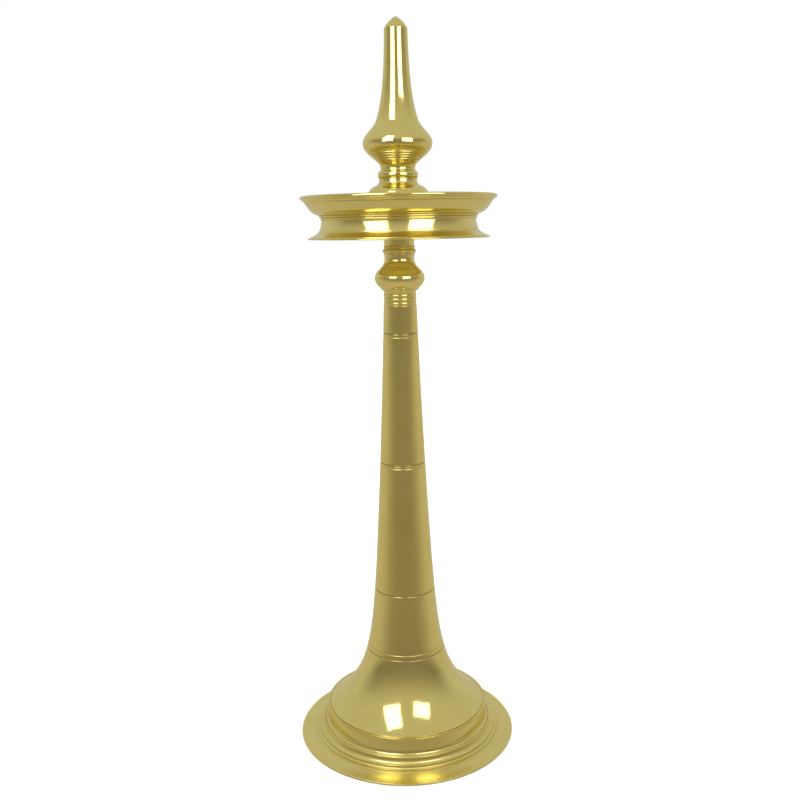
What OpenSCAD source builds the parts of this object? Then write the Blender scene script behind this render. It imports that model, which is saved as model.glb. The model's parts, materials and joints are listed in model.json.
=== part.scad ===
// Brass standing oil lamp: a round oil pan on a tall flared stem, turned hollow castings that
// screw together. Origin at the centre of the underside, +Z up, millimetres.

/* [Base] */
// Outer diameter of the base plate
base_d = 285; // [270:1:310]
// Diameter of the low step at the foot of the cove
step_d = 235; // [228:1:240]
// Diameter of the bead that the drum stands in
bead_d = 225; // [220:0.5:227]
// Diameter of the drum at its rim
drum_d = 212; // [208:1:214]
// Height of the drum's rim
rim_z = 41; // [38:1:44]
// Wall thickness of the castings
wall = 4; // [3:0.5:5]

/* [Stem] */
// Height of the bell foot's top
bell_top = 117.5; // [110:0.5:125]
// Height of the stem root's top
root_top = 200; // [190:1:215]
// Height of the lower stem's top
lower_top = 371; // [350:1:390]
// Height of the upper stem's top
upper_top = 538; // [520:1:545]
// Height at which the plain taper ends
taper_top = 573; // [570:1:576]
// Radius of the stem there
taper_top_r = 20.8; // [19:0.1:23]
// Widening of the stem per millimetre downwards
taper = 0.0332; // [0.025:0.0001:0.04]
// How far the trumpet foot spreads beyond the taper at the rim
flare = 53.1; // [50:0.1:54]
// Height over which that spread fades
flare_len = 37.5; // [36:0.1:41]

/* [Collar, pan and finial] */
// Height of the collar's seat under the pan
collar_top = 667; // [664:1:668]
// Widest radius of the collar's knop
knop_r = 31.2; // [30:0.1:33]
// Outer diameter of the oil pan
pan_d = 241.6; // [236:0.2:250]
// Outer diameter of the flange under the pan
flange_d = 225; // [210:1:232]
// Height of the pan's floor
floor_z = 672; // [671:0.5:674]
// Top of the central boss that carries the finial
boss_top = 702; // [700:0.5:703]
// Widest radius of the finial's bulb
bulb_r = 42.4; // [40:0.1:44]
// Overall height, to the finial's tip
lamp_h = 914; // [905:1:925]

/* [Screw joints] */
// Pitch of every thread
pitch = 3; // [2:0.5:4]
// Turns of thread in each joint
turns = 5; // [4:1:5]
// Radial clearance of a nipple in the socket above it
fit_gap = 0.05; // [0.02:0.01:0.1]
// Thickness of the packing washer in each joint
washer_t = 1; // [0.6:0.1:1.2]

/* [Hidden] */
$fn = 96;
brass = [0.83, 0.72, 0.36];
dark_brass = [0.72, 0.58, 0.28];
packing = [0.16, 0.12, 0.09];
steel = [0.6, 0.6, 0.62];

swell = 0.0000409;          // slow curve of the stem, per millimetre
thread_len = pitch * turns;
socket_depth = thread_len + 1.5;
grip = 16;                  // depth at which a nipple is fixed in the piece below
nipple_wall = 4;
edge = 0.5;                 // chamfer beside each seam
score = 0.45;               // depth of a turned line
ledge_z = 19.2;             // where the drum stands on the base plate
flange_z = 14.4;            // underside of the plate's inner flange
flange_r = 85;              // hole through the base plate
screw_ring_r = 94;
screw_r = 2.5;
bell_r = 44.5;              // nipple radii, from the bell up
root_r = 33.5;
lower_r = 23;
upper_r = 15.5;
pan_thread_r = 14;          // above and below the pan
pan_under_z = collar_top + washer_t;
boss_split_z = boss_top - 17.5;
finial_z = boss_top + washer_t;
bulb_z = 769;

// Outline of the stem: a gentle taper that spreads like a trumpet at the bottom.
function below(z) = taper_top - z;
function stem_r(z) = taper_top_r + taper * below(z) + swell * pow(below(z), 2)
    + flare * exp(-(z - rim_z) / flare_len);
function stem_slope(z) = taper + 2 * swell * below(z)
    + flare / flare_len * exp(-(z - rim_z) / flare_len);
function stem_bore(z) = stem_r(z) - wall * sqrt(1 + pow(stem_slope(z), 2));

// Points at even heights, an arc, an upright ellipse and a curve with two handles.
function levels(z0, z1, n) = [for (i = [0:n]) z0 + (z1 - z0) * i / n];
function outer_run(z0, z1, n) = [for (z = levels(z0, z1, n)) [stem_r(z), z]];
function bore_run(z0, z1, n) = [for (z = levels(z0, z1, n)) [stem_bore(z), z]];
function oval(c, rx, rz, a0, a1, n) =
    [for (i = [0:n]) let (a = a0 + (a1 - a0) * i / n) [c[0] + rx * cos(a), c[1] + rz * sin(a)]];
function arc(c, r, a0, a1, n) = oval(c, r, r, a0, a1, n);
function curve(p, q, s, t, n) =
    [for (i = [0:n]) let (u = i / n, v = 1 - u)
        v * v * v * p + 3 * v * v * u * q + 3 * v * u * u * s + u * u * u * t];
// A fine V-shaped line turned into the stem at height z.
function stem_line(z) =
    [[stem_r(z - 0.6), z - 0.6], [stem_r(z) - score, z], [stem_r(z + 0.6), z + 0.6]];
// The outer wall between two seams, with chamfered ends and one turned line at height z.
function section(z0, z, z1, n) = concat(
    [[stem_r(z0) - edge, z0]], outer_run(z0 + edge, z - 1.2, max(3, round(n * (z - z0) / (z1 - z0)))),
    stem_line(z), outer_run(z + 1.2, z1 - edge, max(3, round(n * (z1 - z) / (z1 - z0)))),
    [[stem_r(z1) - edge, z1]]);
// The bore, from the top down: nipple seat, tapered hollow, threaded socket.
function section_bore(z0, low_r, z1, top_r, n) = concat(
    [[top_r, z1], [top_r, z1 - grip]], bore_run(z1 - grip - 4, z0 + socket_depth + 4, n),
    [[low_r + fit_gap, z0 + socket_depth], [low_r + fit_gap, z0]]);

module turned(points) {
    rotate_extrude() polygon(points);
}

module tube(r_out, r_in, z0, z1) {
    turned([[r_in, z0], [r_out, z0], [r_out, z1], [r_in, z1]]);
}

// Screwed nipple, fixed in the piece below seam height z and standing up into the one above.
module nipple(r, z) {
    top = z + washer_t + thread_len;
    color(dark_brass) turned([
        [r - nipple_wall, z - grip], [r, z - grip], [r, top - 1], [r - 1, top], [r - nipple_wall, top]]);
}

module washer(r_out, r_in, z) {
    color(packing) tube(r_out, r_in, z, z + washer_t);
}

module ring_of_screws() {
    for (i = [0:3]) rotate(45 + 90 * i) translate([screw_ring_r, 0, 0]) children();
}

module base_plate() {
    step_r = step_d / 2;
    bead_r = bead_d / 2;
    rim_r = base_d / 2;
    color(brass) difference() {
        turned(concat(
            [[rim_r - 18.5, 0], [rim_r - 1.2, 0]], arc([rim_r - 1.2, 1.2], 1.2, -75, 90, 8),
            [[rim_r - 12, 3.4], [step_r + 5, 5.2], [step_r + 4, 5.8], [step_r + 4, 7.1]],
            [[step_r + 1, 7.7], [step_r, 8.6], [step_r, 10.8]],
            // Cove, bead and the groove in which the drum stands
            arc([step_r + 1, 17.4], 6.6, 255, 180, 10),
            arc([bead_r - 1.3, ledge_z - 1.2], 1.3, -60, 90, 8),
            [[bead_r - 2.8, ledge_z - 0.5], [bead_r - 3.4, ledge_z], [flange_r, ledge_z]],
            [[flange_r, flange_z], [107, flange_z], [step_r - 4, 7.5], [step_r + 2, 3]]));
        ring_of_screws() translate([0, 0, flange_z - 1]) cylinder(r = screw_r + 0.3, h = 7);
    }
}

module base_screws() {
    head_t = 3.4;
    color(steel) ring_of_screws() difference() {
        turned([
            [0, flange_z - head_t], [3.8, flange_z - head_t], [4.9, flange_z - 2.2],
            [4.9, flange_z], [screw_r, flange_z], [screw_r, ledge_z + 8],
            [screw_r - 0.8, ledge_z + 9], [0, ledge_z + 9]]);
        translate([-6, -0.6, flange_z - head_t - 1]) cube([12, 1.2, 2.4]);
    }
}

module bell_foot() {
    drum_r = drum_d / 2;
    foot_r = bead_d / 2 - 3.6;
    lug_r = flange_r + 1.5;
    color(brass) difference() {
        turned(concat(
            [[lug_r, ledge_z], [foot_r, ledge_z]],
            curve([foot_r, ledge_z + 0.4], [drum_r + 0.9, 20.6], [drum_r + 0.1, 22], [drum_r, 24.6], 8),
            [[drum_r - 0.3, 38.2]], arc([drum_r - 1.1, rim_z - 1.1], 1.1, -20, 140, 8),
            [[drum_r - 3.4, rim_z - 0.7]], outer_run(rim_z + 0.3, bell_top - edge, 24),
            [[stem_r(bell_top) - edge, bell_top], [bell_r, bell_top], [bell_r, bell_top - grip]],
            bore_run(bell_top - grip - 3, rim_z + 3, 14),
            // Inner flange, which takes the base screws
            [[101.5, rim_z - 5], [101.5, ledge_z + 13], [99.5, ledge_z + 11], [lug_r, ledge_z + 11]]));
        ring_of_screws() translate([0, 0, ledge_z - 1]) cylinder(r = screw_r, h = 13);
    }
}

module stem_root() {
    z0 = bell_top + washer_t;
    color(brass) turned(concat(
        section(z0, z0 + 5.2, root_top, 14), section_bore(z0, bell_r, root_top, root_r, 8)));
}

module stem_lower() {
    z0 = root_top + washer_t;
    color(brass) turned(concat(
        section(z0, lower_top - 3.4, lower_top, 14), section_bore(z0, root_r, lower_top, lower_r, 8)));
}

module stem_upper() {
    z0 = lower_top + washer_t;
    color(brass) turned(concat(
        section(z0, upper_top - 4, upper_top, 10), section_bore(z0, lower_r, upper_top, upper_r, 6)));
}

module knop_collar() {
    z0 = upper_top + washer_t;
    bore_r = 12;
    neck_r = 18.5;
    color(brass) turned(concat(
        [[stem_r(z0) - edge, z0]], outer_run(z0 + edge, taper_top - 0.5, 4),
        // Three ring beads
        [for (z = [575.8, 580.8, 585.8]) each arc([18.8, z], 2, -62, 62, 6)],
        // Knop
        [[19.9, 588.6], [20.8, 590.6]], curve([21.4, 591.4], [23.4, 592], [23.8, 593], [24, 594.4], 4),
        curve([24.8, 595], [27.6, 596.8], [knop_r, 601.6], [knop_r, 606.4], 8),
        curve([knop_r, 606.6], [knop_r, 612.2], [27, 615.4], [25.4, 617.4], 7),
        [[24.4, 617.8]], [[22.9, 620.2]], [[22, 620.6]],
        curve([21.4, 621.4], [19.8, 624], [neck_r, 627], [neck_r, 631], 6),
        // Neck with a ring bead between thin fillets, spreading to the seat under the pan
        [[neck_r + 0.2, 635.4], [neck_r + 1, 636.1], [neck_r + 1, 637.2]],
        arc([neck_r + 0.5, 639.8], 1.9, -75, 75, 8), [[neck_r + 0.2, 642.8]],
        arc([neck_r, 644.5], 0.9, -80, 80, 4), [[neck_r, 647], [neck_r + 0.4, 656]],
        curve([neck_r + 0.5, 657], [neck_r + 1, 661], [26, 661], [26, 664], 6), [[26, collar_top]],
        [[pan_thread_r, collar_top], [pan_thread_r, collar_top - grip], [bore_r, collar_top - grip - 2]],
        [[bore_r, 628], [24, 614], [24, 604], [bore_r, 592], [bore_r, z0 + socket_depth + 3]],
        [[upper_r + fit_gap, z0 + socket_depth], [upper_r + fit_gap, z0]]));
}

module oil_pan() {
    rim_r = pan_d / 2;
    skirt_r = flange_d / 2;
    waist_r = 95.2;
    well_r = 90.8;
    rim_top = 707;
    color(brass) turned(concat(
        // Underside: boss seat, floor, skirt and flange
        [[pan_thread_r + fit_gap, pan_under_z], [well_r, pan_under_z]],
        curve([well_r + 1, pan_under_z - 1], [92.6, 661.4], [98, 657.4], [skirt_r - 6, 655.3], 7),
        [[skirt_r - 1, 655.1]], arc([skirt_r - 1, 656], 0.9, -90, 90, 6),
        // Outside: flare in three steps, waist, two beads, ogee and rim
        [[skirt_r - 3.4, 657.3], [skirt_r - 3.8, 658.2]],
        curve([107.8, 658.6], [105.6, 659.2], [104, 660], [103, 661], 4), [[102, 661.2]],
        curve([101.4, 661.8], [100.2, 662.6], [99.4, 663.2], [99, 664.2], 4),
        [[98.2, 664.4]], curve([98, 665], [96.8, 668.6], [95.8, 671], [waist_r, 676], 6),
        [[waist_r, 678.2]], arc([waist_r, 679.6], 1.2, -80, 80, 6), [[waist_r + 0.6, 681.3]],
        arc([waist_r + 1.6, 682.6], 1.2, -80, 60, 5),
        curve([98.2, 683.8], [107.6, 685.4], [110.8, 693], [115, 698.4], 10), [[115.2, 699.6]],
        curve([116, 699.8], [116.8, 700.4], [117.4, 701.2], [rim_r - 2.6, 702], 4),
        arc([rim_r - 2.4, 704.6], 2.4, -80, 95, 10),
        // Inside: rim, ogee, well, floor and central boss
        curve([rim_r - 4, rim_top - 0.2], [109, 703], [106, 690.6], [93.6, 687.4], 10),
        arc([well_r + 1.6, 685.4], 1.6, 60, 180, 5), arc([well_r - 4, floor_z + 4], 4, 0, -90, 6),
        curve([44, floor_z], [36, floor_z], [31, 674], [30, 682], 8),
        curve([30, 690], [30, 697], [33, 698.6], [36.6, 699.4], 6),
        arc([36.6, boss_top - 1.3], 1.3, -90, 90, 6),
        [[pan_thread_r, boss_top], [pan_thread_r, boss_split_z]],
        [[pan_thread_r + fit_gap, boss_split_z]]));
}

module finial() {
    foot_r = 38.6;
    neck_r = 21;
    tip_z = lamp_h;
    spire_z = 795;
    spire = function (z) 13.3 + 12.5 * exp(-(z - spire_z) / 36.8);
    color(brass) turned(concat(
        // Foot, groove, bead and neck
        [[foot_r - edge, finial_z]], oval([22.4, finial_z], foot_r - 22.4, 16.4, 2, 74, 11),
        [[26.2, 719.4], [25.4, 720.4]],
        curve([24.2, 721.2], [23.4, 722.4], [23.2, 724.4], [23.2, 725.6], 4),
        oval([neck_r, 731], 3.7, 5.2, -52, 80, 9),
        curve([neck_r + 0.2, 737.4], [neck_r - 0.4, 740], [neck_r + 0.6, 744], [24.8, 746.6], 6),
        // Stepped rings under the bulb
        [for (i = [0:3]) each let (r = 25.2 + 3.1 * i, z = 747.2 + 2.6 * i)
            [[r, z], [r + 1.5, z + 0.5], [r + 2.2, z + 1.3], [r + 2, z + 2.1]]],
        // Bulb, with a pair of turned lines above it, and spire
        curve([37.8, 758], [40.8, 761], [bulb_r, 764.6], [bulb_r, bulb_z], 7),
        curve([bulb_r, bulb_z + 0.4], [bulb_r, 777], [29.2, 786.4], [spire(spire_z), spire_z], 16),
        [for (z = levels(spire_z + 4, 899, 18)) [spire(z), z]],
        curve([spire(900), 900], [11.4, 905.6], [5.8, 911], [0, tip_z], 6),
        // Hollow inside
        [[0, 896], [8.5, 888], [9.4, 862], [12.6, 824], [19.5, 796], [31.5, 780], [37.6, 768]],
        [[31, 758.5], [15.2, 746], [13, 740], [13, finial_z + socket_depth + 2]],
        [[pan_thread_r + fit_gap, finial_z + socket_depth], [pan_thread_r + fit_gap, finial_z]]));
}

module bell_nipple() nipple(bell_r, bell_top);
module root_nipple() nipple(root_r, root_top);
module lower_nipple() nipple(lower_r, lower_top);
module upper_nipple() nipple(upper_r, upper_top);
module collar_nipple() nipple(pan_thread_r, collar_top);
module pan_nipple() nipple(pan_thread_r, boss_top);

// Each washer is a little narrower than its seam, and clears the nipple it rides over.
module root_washer() washer(stem_r(bell_top) - 1, bell_r + 0.4, bell_top);
module lower_washer() washer(stem_r(root_top) - 1, root_r + 0.4, root_top);
module upper_washer() washer(stem_r(lower_top) - 1, lower_r + 0.4, lower_top);
module collar_washer() washer(stem_r(upper_top) - 1, upper_r + 0.4, upper_top);
module pan_washer() washer(25.5, pan_thread_r + 0.4, collar_top);
module finial_washer() washer(35.5, pan_thread_r + 0.4, boss_top);

base_plate();
base_screws();
bell_foot();
bell_nipple();
root_washer();
stem_root();
root_nipple();
lower_washer();
stem_lower();
lower_nipple();
upper_washer();
stem_upper();
upper_nipple();
collar_washer();
knop_collar();
collar_nipple();
pan_washer();
oil_pan();
pan_nipple();
finial_washer();
finial();
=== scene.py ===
"""Looks of the brass standing oil lamp, in metres and in the CAD frame.

Each turned piece is spun again from its CAD outline, finer and with its threads. Brass, packing and steel are
procedural materials, and the studio is a smooth surround with two soft boxes.
"""

import json
import math

import bpy
import numpy as np
from mathutils import Matrix, Vector


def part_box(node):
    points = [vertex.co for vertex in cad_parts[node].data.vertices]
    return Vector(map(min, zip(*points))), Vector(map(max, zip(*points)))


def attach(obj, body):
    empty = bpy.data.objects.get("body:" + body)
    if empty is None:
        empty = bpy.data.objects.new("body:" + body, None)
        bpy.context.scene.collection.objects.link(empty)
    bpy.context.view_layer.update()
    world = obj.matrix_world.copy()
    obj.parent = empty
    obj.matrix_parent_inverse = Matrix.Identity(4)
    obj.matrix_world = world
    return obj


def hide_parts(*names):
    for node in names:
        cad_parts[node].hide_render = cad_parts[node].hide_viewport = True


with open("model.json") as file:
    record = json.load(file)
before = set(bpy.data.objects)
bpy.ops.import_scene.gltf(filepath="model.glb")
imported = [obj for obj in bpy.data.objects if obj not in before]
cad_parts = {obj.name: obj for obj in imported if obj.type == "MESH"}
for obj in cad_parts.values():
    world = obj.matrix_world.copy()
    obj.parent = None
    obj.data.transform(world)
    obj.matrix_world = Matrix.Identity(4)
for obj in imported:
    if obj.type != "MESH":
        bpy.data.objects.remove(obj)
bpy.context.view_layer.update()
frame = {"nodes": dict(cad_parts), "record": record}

# Lathe work
SEGMENTS = 256             # round the axis
CORNER = math.radians(33)  # a sharper turn than this is an edge, a gentler one is part of a curve
ROUNDING = 0.00022         # how far an edge is broken by polishing
CURVE_STEP = math.radians(3.5)
FLAT = math.radians(0.4)   # a stretch that bends less than this stays straight
HOLD = 0.0012              # a straight stretch gets points this far from its ends
ON_AXIS = 1e-6             # a radius below this is on the axis
TARNISH_REACH = 0.0006     # how far tarnish spreads from a groove, along the outline
DARKEST = math.radians(70)  # fold of a groove that is fully tarnished

# Threads
PITCH = 0.003
THREAD_DEPTH = 0.0011
THREAD_STEP = 0.00025      # rows of a thread, along the axis
THREAD_EDGE = 0.001        # left plain at a nipple's top and at a socket's mouth
NIPPLE_THREAD = 0.0155     # a nipple's thread starts this far below its top
FADE = 0.0015              # length over which a thread runs out

# Camera, in metres, degrees and millimetres
CAMERA_PLACE = (0, -1.1465, 0.6717)
CAMERA_DOWN, CAMERA_ROLL, CAMERA_YAW = 10.865, -0.969, -0.111
SENSOR, LENS = 36.0, 41.117

PANEL_STEPS = 10           # facets across a soft box

# Piece above each seam, and the nipple it screws on to
SEAMS = {
    "stem_root": "bell_nipple",
    "stem_lower": "root_nipple",
    "stem_upper": "lower_nipple",
    "knop_collar": "upper_nipple",
    "oil_pan": "collar_nipple",
    "finial": "pan_nipple",
}
TURNED = ["base_plate", "bell_foot", *SEAMS, *SEAMS.values()]
WORN = ["stem_upper", "knop_collar"]  # hazier than the other mirror polished pieces
WASHERS = [name for name in frame["nodes"] if name.endswith("_washer")]


# ---------------------------------------------------------------------------------------------- outlines

def seam_outline(node):
    """The section of a turned CAD node: (radius, height) points in order, material on the left."""
    mesh = frame["nodes"][node].data
    co = np.empty(len(mesh.vertices) * 3)
    mesh.vertices.foreach_get("co", co)
    co = co.reshape(-1, 3)
    ends = np.empty(len(mesh.edges) * 2, dtype=int)
    mesh.edges.foreach_get("vertices", ends)
    on_seam = (abs(co[:, 1]) < 1e-6) & (co[:, 0] > -1e-6)
    key = [tuple(k) for k in np.round(co[:, [0, 2]] * 1e6).astype(int)]
    place, links = {}, {}
    for a, b in ends.reshape(-1, 2):
        if on_seam[a] and on_seam[b] and key[a] != key[b]:
            for p, q in ((a, b), (b, a)):
                place[key[p]] = co[p, [0, 2]]
                links.setdefault(key[p], set()).add(key[q])
    # A flat ring has no seam of its own: its two circles are joined where their heights agree
    loose = sorted((k for k in links if len(links[k]) == 1 and k[0] > 1), key=lambda k: (k[1], k[0]))
    for a, b in zip(loose[::2], loose[1::2]):
        links[a].add(b)
        links[b].add(a)
    start = min(links, key=lambda k: (len(links[k]), k))
    chain, last = [start], None
    while True:
        onward = [k for k in links[chain[-1]] if k != last and k not in chain[1:]]
        if not onward or onward[0] == start:
            break
        last = chain[-1]
        chain.append(onward[0])
    points = np.array([place[k] for k in chain])
    if len(chain) != len(links):
        raise ValueError(f"{node}: the outline has {len(links)} points, and {len(chain)} are joined")
    x, z = points.T
    if np.sum(x * np.roll(z, -1) - z * np.roll(x, -1)) < 0:
        points = points[::-1]
    return without_straight_points(points)


def without_straight_points(points):
    """Leaves out the points that lie on the line between their neighbours."""
    kept = list(points)
    i = 0
    while i < len(kept):
        a, b, c = kept[i - 1], kept[i], kept[(i + 1) % len(kept)]
        area = abs((c[0] - a[0]) * (b[1] - a[1]) - (c[1] - a[1]) * (b[0] - a[0]))
        off = area / max(np.hypot(*(c - a)), 1e-9)
        on_axis = b[0] < ON_AXIS
        if off < 4e-7 and not on_axis:
            kept.pop(i)
        else:
            i += 1
    return np.array(kept)


def unit(v):
    return v / max(np.hypot(*v), 1e-12)


def turn(a, b):
    return math.atan2(a[0] * b[1] - a[1] * b[0], a @ b)


def smooth_outline(points):
    """Rounds the edges, curves the stretches between them, and returns points with their outward normals."""
    n = len(points)
    open_ends = points[:, 0] < ON_AXIS
    knots = []  # place, direction in, direction out
    for i, p in enumerate(points):
        before, after = p - points[i - 1], points[(i + 1) % n] - p
        d0, d1 = unit(before), unit(after)
        l0, l1 = np.hypot(*before), np.hypot(*after)
        if open_ends[i]:
            knots.append([(p, d0, d1)])
        elif abs(turn(d0, d1)) > CORNER:
            cut = min(ROUNDING, 0.35 * l0, 0.35 * l1)
            a, b = p - d0 * cut, p + d1 * cut
            bend = []
            for t in (0.25, 0.5, 0.75):
                q = (1 - t) ** 2 * a + 2 * t * (1 - t) * p + t * t * b
                d = unit((1 - t) * (p - a) + t * (b - p))
                bend.append((q, d, d))
            knots.append([(a, d0, d0), *bend, (b, d1, d1)])
        else:
            d = d0 if l0 > 3 * l1 else d1 if l1 > 3 * l0 else unit(d0 * l1 + d1 * l0)
            knots.append([(p, d, d)])
    out = []
    for i, group in enumerate(knots):
        out += [(q, (d_in, d_out)) for q, d_in, d_out in group]
        a, _, da = group[-1]
        b, db, _ = knots[(i + 1) % n][0]
        if open_ends[i] and open_ends[(i + 1) % n]:
            continue
        chord = b - a
        length = np.hypot(*chord)
        bend = abs(turn(da, chord)) + abs(turn(chord, db))
        if bend > FLAT:
            steps = max(2, math.ceil(bend / CURVE_STEP))
            ts = [k / steps for k in range(1, steps)]
        else:
            ts = [HOLD / length, 1 - HOLD / length] if length > 3 * HOLD else []
        for t in ts:
            q = ((2 * t**3 - 3 * t**2 + 1) * a + (t**3 - 2 * t**2 + t) * length * da
                 + (3 * t**2 - 2 * t**3) * b + (t**3 - t**2) * length * db)
            d = unit((6 * t**2 - 6 * t) * a + (3 * t**2 - 4 * t + 1) * length * da
                     + (6 * t - 6 * t**2) * b + (3 * t**2 - 2 * t) * length * db)
            out.append((q, (d, d)))
    places = np.array([q for q, _ in out])
    normals = np.array([unit(unit(d0) + unit(d1)) for _, (d0, d1) in out])
    return places, np.stack([normals[:, 1], -normals[:, 0]], axis=1)


def with_thread_rows(points, normals, radius, low, high):
    """Adds rows of points to the upright stretch of the outline at this radius, between two heights."""
    rows, rows_n, cut = [], [], []
    n = len(points)
    for i in range(n):
        a, b = points[i], points[(i + 1) % n]
        rows.append(a)
        rows_n.append(normals[i])
        upright = abs(a[0] - radius) < 2e-4 and abs(b[0] - radius) < 2e-4 and abs(a[1] - b[1]) > 0.002
        if upright:
            z0, z1 = np.clip([a[1], b[1]], low, high)
            count = int(abs(z1 - z0) / THREAD_STEP)
            for k in range(1, count):
                cut.append(len(rows))
                rows.append(np.array([a[0], z0 + (z1 - z0) * k / count]))
                level = abs(normals[i][0]) > 0.99
                rows_n.append(normals[i] if level else np.array([np.sign(normals[i][0]), 0]))
    return np.array(rows), np.array(rows_n), np.array(cut, dtype=int)


def tarnish_along(points, normals):
    """0 on open surfaces, up to 1 in grooves and inner corners, where polish doesn't reach."""
    step = np.roll(points, -1, axis=0) - points
    length = np.hypot(*step.T)
    s = np.concatenate([[0], np.cumsum(length)[:-1]])
    around = np.roll(normals, -1, axis=0)
    fold = -np.arctan2(normals[:, 0] * around[:, 1] - normals[:, 1] * around[:, 0],
                       np.sum(normals * around, axis=1))
    fold = np.clip(fold, 0, None)
    middle = s + length / 2
    near = np.exp(-0.5 * ((s[:, None] - middle[None, :]) / TARNISH_REACH) ** 2)
    return np.clip(near @ fold / DARKEST, 0, 1)


# ---------------------------------------------------------------------------------------------- meshes

def spun(name, points, normals, thread=None, inward=True):
    """Spins an outline round the axis. thread is the rows that carry a helical groove."""
    angle = np.arange(SEGMENTS) * (2 * math.pi / SEGMENTS)
    radius = np.repeat(points[:, :1], SEGMENTS, axis=1)
    height = np.repeat(points[:, 1:], SEGMENTS, axis=1)
    if thread is not None and len(thread):
        z = height[thread]
        across = (z / PITCH - angle[None, :] / (2 * math.pi)) % 1
        groove = np.clip(1.25 - abs(across - 0.5) * 3.4, 0, 1)
        low, high = z.min(), z.max()
        fade = np.clip(np.minimum(z - low, high - z) / FADE, 0, 1)
        radius[thread] += (-1 if inward else 1) * THREAD_DEPTH * groove * fade
    co = np.stack([radius * np.cos(angle), radius * np.sin(angle), height], axis=2)
    rows = len(points)
    axis = points[:, 0] < ON_AXIS
    faces = []
    index = np.arange(rows * SEGMENTS).reshape(rows, SEGMENTS)
    index[axis] = index[axis][:, :1]
    for i in range(rows):
        k = (i + 1) % rows
        if axis[i] and axis[k]:
            continue
        a, b = index[i], index[k]
        quads = np.stack([a, np.roll(a, -1), np.roll(b, -1), b], axis=1)
        if axis[i]:
            quads = quads[:, [0, 2, 3]]
        if axis[k]:
            quads = quads[:, :3]
        faces += quads.tolist()
    used = np.unique(index)
    renumber = np.full(rows * SEGMENTS, -1)
    renumber[used] = np.arange(len(used))
    faces = [[int(renumber[v]) for v in face] for face in faces]
    mesh = bpy.data.meshes.new(name)
    mesh.from_pydata(co.reshape(-1, 3)[used].tolist(), [], faces)
    mesh.update()
    mesh.shade_smooth()
    if thread is None or not len(thread):
        out = np.stack([normals[:, :1] * np.cos(angle), normals[:, :1] * np.sin(angle),
                        np.repeat(normals[:, 1:], SEGMENTS, axis=1)], axis=2)
        mesh.normals_split_custom_set_from_vertices(out.reshape(-1, 3)[used].tolist())
    dull = np.repeat(tarnish_along(points, normals)[:, None], SEGMENTS, axis=1).ravel()[used]
    mesh.attributes.new("tarnish", "FLOAT", "POINT").data.foreach_set("value", dull)
    obj = bpy.data.objects.new(name, mesh)
    bpy.context.scene.collection.objects.link(obj)
    return obj


def stands_for(obj, node, material):
    """Puts a new piece in place of a CAD node, on the same body, with the given material."""
    obj.data.materials.append(material)
    record = frame["record"]
    body = next(b for b, nodes in record["behaviour"]["bodies"].items() if node in nodes)
    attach(obj, body)
    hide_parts(node)


# ---------------------------------------------------------------------------------------------- materials

class Nodes:
    """Short names for building a node tree."""

    def __init__(self, tree):
        self.tree = tree

    def add(self, kind, **inputs):
        node = self.tree.nodes.new(kind)
        for name, value in inputs.items():
            self.feed(node, name.replace("_", " "), value)
        return node

    def feed(self, node, name, value):
        socket = node.inputs[int(name) if name.isdigit() else name]
        if isinstance(value, bpy.types.NodeSocket):
            self.tree.links.new(value, socket)
        else:
            socket.default_value = value

    def math(self, operation, *values, clamp=False):
        node = self.tree.nodes.new("ShaderNodeMath")
        node.operation, node.use_clamp = operation, clamp
        for i, value in enumerate(values):
            self.feed(node, str(i), value)
        return node.outputs[0]

    def range(self, value, low, high, to_low=0.0, to_high=1.0):
        node = self.add("ShaderNodeMapRange", Value=value, From_Min=low, From_Max=high,
                        To_Min=to_low, To_Max=to_high)
        node.interpolation_type = "SMOOTHSTEP"
        return node.outputs["Result"]

    def mix(self, factor, a, b):
        node = self.tree.nodes.new("ShaderNodeMix")
        node.data_type = "RGBA"
        for socket, value in zip((node.inputs[0], node.inputs[6], node.inputs[7]), (factor, a, b)):
            if isinstance(value, bpy.types.NodeSocket):
                self.tree.links.new(value, socket)
            else:
                socket.default_value = value
        return node.outputs[2]

    def noise(self, vector, scale, detail=2.0, w=None):
        node = self.tree.nodes.new("ShaderNodeTexNoise")
        node.noise_dimensions = "3D" if w is None else "4D"
        if w is not None:
            self.feed(node, "W", w)
        self.feed(node, "Vector", vector)
        self.feed(node, "Scale", scale)
        self.feed(node, "Detail", detail)
        return node.outputs["Fac"]


def material(name, **settings):
    made = bpy.data.materials.new(name)
    made.use_nodes = True
    shader = made.node_tree.nodes["Principled BSDF"]
    for key, value in settings.items():
        shader.inputs[key.replace("_", " ")].default_value = value
    return made, Nodes(made.node_tree), shader


def lathe_noise(n, fineness, round_trip):
    """Noise drawn out round the axis, as turning and buffing marks are. fineness is per metre."""
    place = n.add("ShaderNodeTexCoord").outputs["Object"]
    split = n.add("ShaderNodeSeparateXYZ", Vector=place)
    x, y, z = split.outputs
    radius = n.math("SQRT", n.math("ADD", n.math("MULTIPLY", x, x), n.math("MULTIPLY", y, y)))
    safe = n.math("MAXIMUM", radius, 0.0005)
    joined = n.add("ShaderNodeCombineXYZ", X=n.math("MULTIPLY", radius, fineness),
                   Y=n.math("MULTIPLY", z, fineness),
                   Z=n.math("MULTIPLY", n.math("DIVIDE", x, safe), round_trip))
    return n.noise(joined.outputs[0], 1.0, 3.0, w=n.math("MULTIPLY", n.math("DIVIDE", y, safe), round_trip))


def bumped(n, shader, *layers):
    """Chains bump nodes: each layer is (height, distance in metres)."""
    normal = None
    for height, distance in layers:
        bump = n.add("ShaderNodeBump", Height=height, Distance=distance, Strength=1.0)
        if normal is not None:
            n.feed(bump, "Normal", normal)
        normal = bump.outputs[0]
    n.feed(shader, "Normal", normal)


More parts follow.
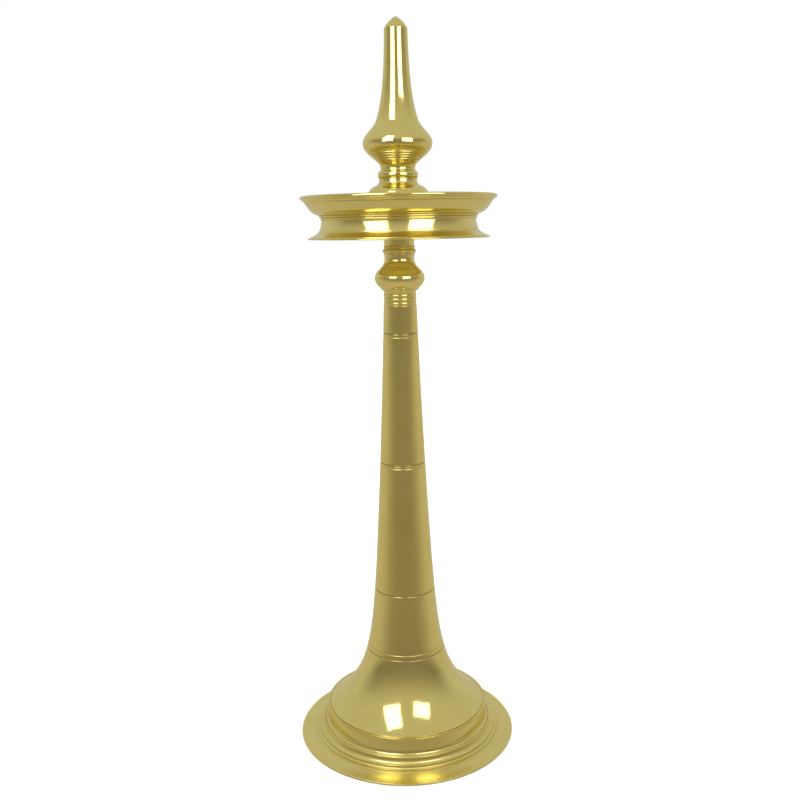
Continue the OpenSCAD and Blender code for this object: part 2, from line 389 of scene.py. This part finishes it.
def polished_brass(name, haze):
    """haze is the roughness of the open surface: mirror polish is about 0.05."""
    made, n, shader = material(name, Metallic=1.0)
    place = n.add("ShaderNodeTexCoord").outputs["Object"]
    tarnish = n.add("ShaderNodeAttribute")
    tarnish.attribute_name = "tarnish"
    patchy = n.range(n.noise(place, 60.0), 0.25, 0.65, 0.55, 1.0)
    grime = n.math("MULTIPLY", tarnish.outputs["Fac"], patchy)
    lines = lathe_noise(n, 2600.0, 2.2)
    bands = lathe_noise(n, 260.0, 1.6)
    cloud = n.noise(place, 22.0, 3.0)
    metal = n.mix(n.range(cloud, 0.35, 0.65), (0.84, 0.73, 0.29, 1), (0.81, 0.69, 0.26, 1))
    metal = n.mix(n.range(bands, 0.5, 0.75, 0.0, 0.35), metal, (0.77, 0.64, 0.22, 1))
    n.feed(shader, "Base Color", n.mix(n.math("MULTIPLY", grime, 0.2), metal, (0.24, 0.15, 0.04, 1)))
    smeared, scratched = n.range(cloud, 0.3, 0.7, haze, haze + 0.04), n.range(lines, 0.3, 0.7, 0.0, 0.04)
    rough = n.math("ADD", smeared, scratched)
    n.feed(shader, "Roughness", n.math("ADD", rough, n.math("MULTIPLY", grime, 0.25), clamp=True))
    bumped(n, shader, (n.noise(place, 30.0, 1.0), 0.0003), (bands, 0.00003), (lines, 0.000006))
    return made


def thread_brass():
    made, n, shader = material("thread_brass", Metallic=1.0)
    lines = lathe_noise(n, 1800.0, 1.5)
    metal = n.mix(n.range(lines, 0.3, 0.7), (0.62, 0.46, 0.16, 1), (0.45, 0.31, 0.10, 1))
    n.feed(shader, "Base Color", metal)
    n.feed(shader, "Roughness", n.range(lines, 0.3, 0.7, 0.28, 0.42))
    bumped(n, shader, (lines, 0.00003))
    return made


def packing():
    made, n, shader = material("packing", Metallic=0.0)
    place = n.add("ShaderNodeTexCoord").outputs["Object"]
    grain = n.noise(place, 900.0, 4.0)
    n.feed(shader, "Base Color", n.mix(grain, (0.16, 0.11, 0.055, 1), (0.27, 0.19, 0.09, 1)))
    n.feed(shader, "Roughness", n.range(grain, 0.2, 0.8, 0.6, 0.85))
    bumped(n, shader, (grain, 0.00008))
    return made


def screw_steel():
    made, n, shader = material("screw_steel", Metallic=1.0)
    place = n.add("ShaderNodeTexCoord").outputs["Object"]
    grain = n.noise(place, 700.0, 4.0)
    n.feed(shader, "Base Color", n.mix(grain, (0.42, 0.42, 0.43, 1), (0.60, 0.59, 0.57, 1)))
    n.feed(shader, "Roughness", n.range(grain, 0.2, 0.8, 0.25, 0.45))
    bumped(n, shader, (grain, 0.00005))
    return made


# ---------------------------------------------------------------------------------------------- studio

def staged(name, verts, faces, look):
    mesh = bpy.data.meshes.new(name)
    mesh.from_pydata(verts, [], faces)
    mesh.materials.append(look)
    obj = bpy.data.objects.new(name, mesh)
    bpy.context.scene.collection.objects.link(obj)
    return obj


def floor():
    """White paper, which the polish doesn't show."""
    side = 12.0
    made, n, shader = material("floor_paper", Roughness=0.9)
    place = n.add("ShaderNodeTexCoord").outputs["Object"]
    n.feed(shader, "Base Color", n.mix(n.noise(place, 3.0), (0.88, 0.88, 0.87, 1), (0.92, 0.92, 0.91, 1)))
    corners = [(x * side, y * side, -0.0004) for x, y in ((-1, -1), (1, -1), (1, 1), (-1, 1))]
    staged("floor", corners, [(0, 1, 2, 3)], made).visible_glossy = False


def surroundings():
    """A smooth warm grey round the lamp, paler behind and above than in front. The camera sees white."""
    world = bpy.data.worlds.new("studio")
    bpy.context.scene.world = world
    world.use_nodes = True
    n = Nodes(world.node_tree)
    world.node_tree.nodes.clear()
    way = n.add("ShaderNodeSeparateXYZ", Vector=n.add("ShaderNodeTexCoord").outputs["Generated"])
    _, y, z = way.outputs
    front = n.mix(n.range(z, 0.0, 0.7), (0.26, 0.24, 0.19, 1), (0.60, 0.58, 0.48, 1))
    room = n.mix(n.range(y, -0.3, 0.6), front, (0.60, 0.59, 0.52, 1))
    low = n.mix(n.range(y, -0.95, 0.3), (0.31, 0.27, 0.20, 1), (0.58, 0.54, 0.43, 1))
    ground = n.mix(n.range(z, -0.2, -0.8), low, (0.55, 0.50, 0.38, 1))
    seen = n.mix(n.range(z, -0.12, 0.06), ground, room)
    lit = n.add("ShaderNodeBackground", Color=seen, Strength=1.0)
    plain = n.add("ShaderNodeBackground", Color=(1, 1, 1, 1), Strength=1.0)
    camera_ray = n.add("ShaderNodeLightPath").outputs["Is Camera Ray"]
    blend = n.add("ShaderNodeMixShader", **{"0": camera_ray, "1": lit.outputs[0], "2": plain.outputs[0]})
    n.add("ShaderNodeOutputWorld", Surface=blend.outputs[0])


def softbox(name, azimuth, width, distance, heights, strength):
    """A white panel curved round the lamp, seen only in the polish. In degrees, azimuth from -Y."""
    made = bpy.data.materials.new(name)
    made.use_nodes = True
    made.node_tree.nodes.clear()
    n = Nodes(made.node_tree)
    emission = n.add("ShaderNodeEmission", Color=(1, 1, 1, 1), Strength=strength)
    n.add("ShaderNodeOutputMaterial", Surface=emission.outputs[0])
    verts, faces = [], []
    for i in range(PANEL_STEPS + 1):
        way = math.radians(azimuth - width / 2 + width * i / PANEL_STEPS)
        verts += [(math.sin(way) * distance, -math.cos(way) * distance, z) for z in heights]
        k = len(verts)
        if i:
            faces.append((k - 4, k - 2, k - 1, k - 3))
    panel = staged(name, verts, faces, made)
    panel.visible_camera = panel.visible_diffuse = panel.visible_shadow = False


def sky_light(name, azimuth, elevation, spread, strength):
    """A wide even light from above for the floor and its soft shadow. It doesn't show in the polish."""
    data = bpy.data.lights.new(name, "SUN")
    data.energy, data.angle = strength, math.radians(spread)
    light = bpy.data.objects.new(name, data)
    a, e = math.radians(azimuth), math.radians(elevation)
    way = Vector((math.sin(a) * math.cos(e), -math.cos(a) * math.cos(e), math.sin(e)))
    light.location = way * 3.0
    light.rotation_euler = way.to_track_quat("Z", "Y").to_euler()
    light.visible_camera = light.visible_glossy = False
    bpy.context.scene.collection.objects.link(light)


def camera():
    """Stands 1.15 m in front of the lamp at 0.67 m, and looks down a little."""
    pitch, roll, yaw = math.radians(CAMERA_DOWN), math.radians(CAMERA_ROLL), math.radians(CAMERA_YAW)
    forward = Vector((math.sin(yaw) * math.cos(pitch), math.cos(yaw) * math.cos(pitch), -math.sin(pitch)))
    level = Vector((math.cos(yaw), -math.sin(yaw), 0))
    up = level.cross(forward)
    right = math.cos(roll) * level + math.sin(roll) * up
    top = math.cos(roll) * up - math.sin(roll) * level
    data = bpy.data.cameras.new("camera")
    data.sensor_width, data.lens = SENSOR, LENS
    obj = bpy.data.objects.new("camera", data)
    turned = Matrix((right, top, -forward)).transposed().to_4x4()
    obj.matrix_world = Matrix.Translation(CAMERA_PLACE) @ turned
    bpy.context.scene.collection.objects.link(obj)
    bpy.context.scene.camera = obj


# ---------------------------------------------------------------------------------------------- the lamp

brass, worn = polished_brass("polished_brass", 0.05), polished_brass("worn_brass", 0.10)
satin = polished_brass("satin_brass", 0.22)
threads, rubber, steel = thread_brass(), packing(), screw_steel()


def finish_of(node):
    if node in SEAMS.values():
        return threads
    if node == "base_plate":
        return satin
    return worn if node in WORN else brass


for node in TURNED:
    points, normals = smooth_outline(seam_outline(node))
    is_nipple, rows = node in SEAMS.values(), None
    if node in SEAMS:
        nipple_top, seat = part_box(SEAMS[node])[1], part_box(node)[0].z
        thread = (nipple_top.x, seat + THREAD_EDGE, nipple_top.z)
        points, normals, rows = with_thread_rows(points, normals, *thread)
    elif is_nipple:
        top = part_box(node)[1]
        thread = (top.x, top.z - NIPPLE_THREAD, top.z - THREAD_EDGE)
        points, normals, rows = with_thread_rows(points, normals, *thread)
    piece = spun(node + "_spun", points, normals, rows, inward=is_nipple)
    stands_for(piece, node, finish_of(node))

for node in WASHERS:
    points, normals = smooth_outline(seam_outline(node))
    stands_for(spun(node + "_spun", points, normals), node, rubber)

screws = frame["nodes"]["base_screws"]
screws.data.materials.clear()
screws.data.materials.append(steel)

floor()
surroundings()
softbox("softbox_left", azimuth=-32, width=34, distance=0.8, heights=(0.75, 2.0), strength=3.5)
softbox("softbox_right", azimuth=32, width=34, distance=0.8, heights=(0.70, 1.2), strength=3.5)
sky_light("sky_left", -40, 52, 60, 2.1)
sky_light("sky_right", 55, 60, 80, 1.5)
camera()
bpy.context.scene.view_settings.view_transform = "Standard"
